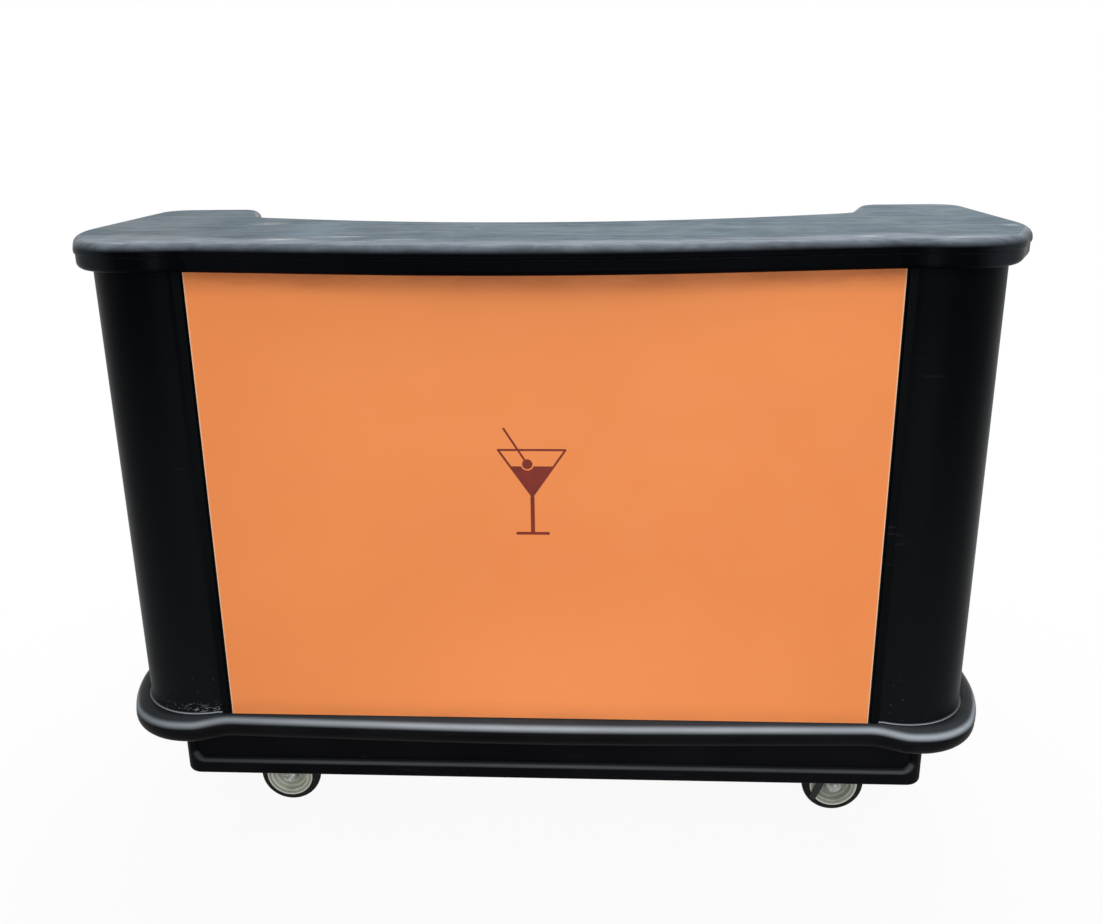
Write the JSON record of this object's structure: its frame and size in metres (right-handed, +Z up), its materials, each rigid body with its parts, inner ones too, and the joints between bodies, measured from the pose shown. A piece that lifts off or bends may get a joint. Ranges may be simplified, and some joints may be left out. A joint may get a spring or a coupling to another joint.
{
  "type": "portable bar",
  "caption": "Black moulded bar on casters with a curved counter, rounded columns, an orange front panel, and an ice bin, wells, rail and shelf behind.",
  "frame": {"origin": "on the floor, under the middle of the whole bar", "axes": "+X along the counter to the customer's right, +Y from the customer's side to the bartender's side, +Z up"},
  "size_m": [1.714, 0.7178, 1.219],
  "materials": {
    "counter_plastic": "satin black moulded polyethylene, rubbed and lightly scuffed",
    "body_plastic": "satin black moulded polyethylene",
    "panel_laminate": "orange decorative sheet, soft satin",
    "emblem_ink": "dark red-brown applied film",
    "bumper_plastic": "satin black moulded polyethylene",
    "base_plastic": "satin black moulded polyethylene",
    "deck_plastic": "fine textured black polyethylene",
    "bright_steel": "brushed stainless sheet",
    "foam": "closed-cell insulating foam",
    "clear_plastic": "dark grey moulded plastic",
    "zinc_steel": "bright zinc-plated pressed steel",
    "core_plastic": "warm grey moulded nylon",
    "tyre_rubber": "charcoal solid rubber tread",
    "brake_plastic": "black enamelled lever",
    "drain_plastic": "pale grey moulded plastic",
    "lever_plastic": "red moulded plastic"
  },
  "bodies": {
    "bar": {"counter_top": "counter_plastic", "counter_brackets": "zinc_steel", "counter_screws": "zinc_steel", "column_left": "body_plastic", "column_right": "body_plastic", "front_wall": "body_plastic", "front_panel": "panel_laminate", "panel_retainer_left": "body_plastic", "panel_retainer_right": "body_plastic", "front_emblem": "emblem_ink", "bumper_rail": "bumper_plastic", "column_foot_beads": "bumper_plastic", "base_deck": "base_plastic", "base_plinth": "base_plastic", "work_deck": "deck_plastic", "deck_ledges": "deck_plastic", "ice_bin_liner": "bright_steel", "ice_bin_jacket": "foam", "cover_tracks": "deck_plastic", "drain_fitting": "bright_steel", "drain_valve_body": "drain_plastic", "speed_rail": "bright_steel", "speed_rail_screws": "zinc_steel", "shelf_runners": "deck_plastic", "caster_bolts": "zinc_steel", "caster_plate_front_left": "zinc_steel", "caster_fork_front_left": "zinc_steel", "axle_front_left": "zinc_steel", "caster_plate_rear_left": "zinc_steel", "caster_fork_rear_left": "zinc_steel", "axle_rear_left": "zinc_steel", "caster_plate_front_right": "zinc_steel", "kingpin_front_right": "zinc_steel", "swivel_balls_front_right": "zinc_steel", "caster_plate_rear_right": "zinc_steel", "kingpin_rear_right": "zinc_steel", "swivel_balls_rear_right": "zinc_steel"},
    "cover_lower": {"ice_bin_cover_lower": "clear_plastic"},
    "cover_upper": {"ice_bin_cover_upper": "clear_plastic"},
    "drain_lever": {"drain_valve_lever": "lever_plastic", "drain_valve_ball": "drain_plastic"},
    "well_left": {"bottle_well_left": "deck_plastic"},
    "well_right": {"bottle_well_right": "deck_plastic"},
    "shelf": {"storage_shelf": "base_plastic"},
    "wheel_front_left": {"wheel_core_front_left": "core_plastic", "wheel_tyre_front_left": "tyre_rubber"},
    "wheel_rear_left": {"wheel_core_rear_left": "core_plastic", "wheel_tyre_rear_left": "tyre_rubber"},
    "swivel_front_right": {"caster_fork_front_right": "zinc_steel", "axle_front_right": "zinc_steel"},
    "brake_front_right": {"brake_pedal_front_right": "brake_plastic"},
    "wheel_front_right": {"wheel_core_front_right": "core_plastic", "wheel_tyre_front_right": "tyre_rubber"},
    "swivel_rear_right": {"caster_fork_rear_right": "zinc_steel", "axle_rear_right": "zinc_steel"},
    "brake_rear_right": {"brake_pedal_rear_right": "brake_plastic"},
    "wheel_rear_right": {"wheel_core_rear_right": "core_plastic", "wheel_tyre_rear_right": "tyre_rubber"}
  },
  "joints": [
    {"name": "cover_lower_slide", "type": "slide", "parent": "bar", "child": "cover_lower", "axis": [1, 0, 0], "range_m": [0, 0.226]},
    {"name": "cover_upper_slide", "type": "slide", "parent": "bar", "child": "cover_upper", "axis": [1, 0, 0], "range_m": [0, 0.226]},
    {"name": "drain_lever_turn", "type": "hinge", "parent": "bar", "child": "drain_lever", "pos_m": [0, 0.016, 0.589], "axis": [0, 1, 0], "range_deg": [0, 90]},
    {"name": "well_left_lift", "type": "slide", "parent": "bar", "child": "well_left", "axis": [0, 0, 1], "range_m": [0, 0.2]},
    {"name": "well_right_lift", "type": "slide", "parent": "bar", "child": "well_right", "axis": [0, 0, 1], "range_m": [0, 0.2]},
    {"name": "shelf_slide", "type": "slide", "parent": "bar", "child": "shelf", "axis": [0, 1, 0], "range_m": [0, 0.3]},
    {"name": "wheel_front_left", "type": "hinge", "parent": "bar", "child": "wheel_front_left", "pos_m": [-0.565, -0.053, 0.0635], "axis": [0, 1, 0], "continuous": true},
    {"name": "wheel_rear_left", "type": "hinge", "parent": "bar", "child": "wheel_rear_left", "pos_m": [-0.565, 0.24, 0.0635], "axis": [0, 1, 0], "continuous": true},
    {"name": "swivel_front_right", "type": "hinge", "parent": "bar", "child": "swivel_front_right", "pos_m": [0.565, -0.053, 0.14], "axis": [0, 0, 1], "continuous": true},
    {"name": "brake_front_right", "type": "hinge", "parent": "swivel_front_right", "child": "brake_front_right", "pos_m": [0.567, -0.077, 0.0835], "axis": [0, -1, 0], "range_deg": [0, 9]},
    {"name": "wheel_front_right", "type": "hinge", "parent": "swivel_front_right", "child": "wheel_front_right", "pos_m": [0.591, -0.053, 0.0635], "axis": [0, 1, 0], "continuous": true},
    {"name": "swivel_rear_right", "type": "hinge", "parent": "bar", "child": "swivel_rear_right", "pos_m": [0.565, 0.24, 0.14], "axis": [0, 0, 1], "continuous": true},
    {"name": "brake_rear_right", "type": "hinge", "parent": "swivel_rear_right", "child": "brake_rear_right", "pos_m": [0.567, 0.216, 0.0835], "axis": [0, -1, 0], "range_deg": [0, 9]},
    {"name": "wheel_rear_right", "type": "hinge", "parent": "swivel_rear_right", "child": "wheel_rear_right", "pos_m": [0.591, 0.24, 0.0635], "axis": [0, 1, 0], "continuous": true}
  ]
}
